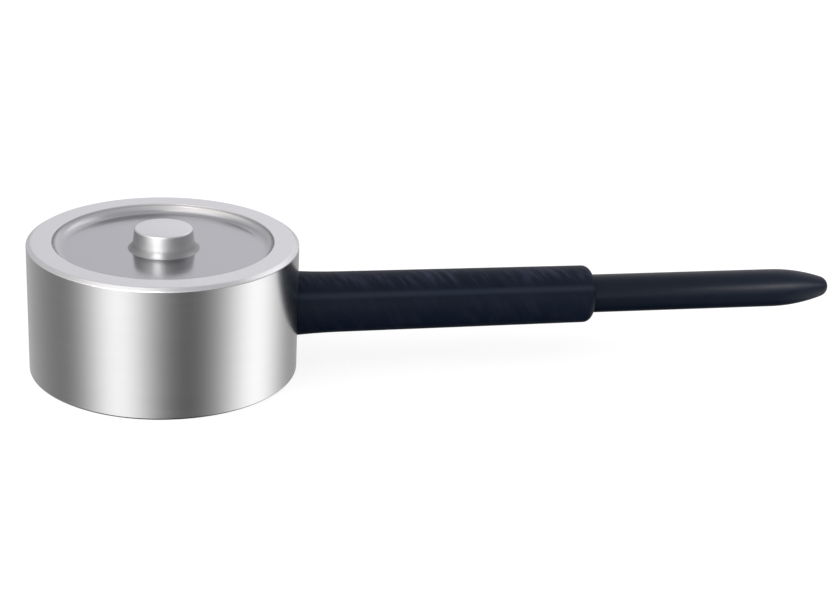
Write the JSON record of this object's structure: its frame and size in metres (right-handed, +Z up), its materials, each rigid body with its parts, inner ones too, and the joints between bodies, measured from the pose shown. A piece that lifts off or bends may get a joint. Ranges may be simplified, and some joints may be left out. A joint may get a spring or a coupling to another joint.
{
  "type": "compression force sensor",
  "caption": "Low round steel force sensor with a raised rim, a shallow recess, a central load button and a short sleeved cable leaving its side; measures a pushing load.",
  "frame": {"origin": "centre of the base ring, on the plane that it stands on", "axes": "+Z up out of the load button along the load axis, +X out of the cable exit"},
  "size_m": [0.0634, 0.02, 0.011],
  "materials": {
    "stainless_steel": "fine turned, satin",
    "cover_steel": "plain sheet, satin",
    "plated_brass": "nickel plated",
    "sleeve_rubber": "moulded, matt with a fine slanting grain",
    "cable_jacket": "smooth, satin",
    "resin": "cast, glossy",
    "board_laminate": "glass laminate",
    "tinned_copper": "tinned strands",
    "solder": "bright",
    "insulation_red": "smooth",
    "insulation_green": "smooth",
    "insulation_white": "smooth",
    "insulation_black": "smooth",
    "gauge_foil": "foil on amber film",
    "lead_copper": "enamelled",
    "chip_ceramic": "ceramic with metal ends"
  },
  "bodies": {
    "root": {"sensing_body": "stainless_steel", "base_cover": "cover_steel", "cable_ferrule": "plated_brass", "strain_relief_sleeve": "sleeve_rubber", "cable": "cable_jacket", "entry_potting": "resin", "terminal_board": "board_laminate", "shield_drain": "tinned_copper", "solder_joints": "solder", "core_red": "insulation_red", "core_green": "insulation_green", "core_white": "insulation_white", "core_black": "insulation_black", "outer_gauge_right": "gauge_foil", "outer_gauge_right_leads": "lead_copper", "inner_gauge_back": "gauge_foil", "inner_gauge_back_leads": "lead_copper", "outer_gauge_left": "gauge_foil", "outer_gauge_left_leads": "lead_copper", "inner_gauge_front": "gauge_foil", "inner_gauge_front_leads": "lead_copper", "zero_balance_resistor": "chip_ceramic", "zero_drift_resistor": "chip_ceramic", "span_resistor_minus": "chip_ceramic", "span_resistor_plus": "chip_ceramic"}
  },
  "joints": []
}
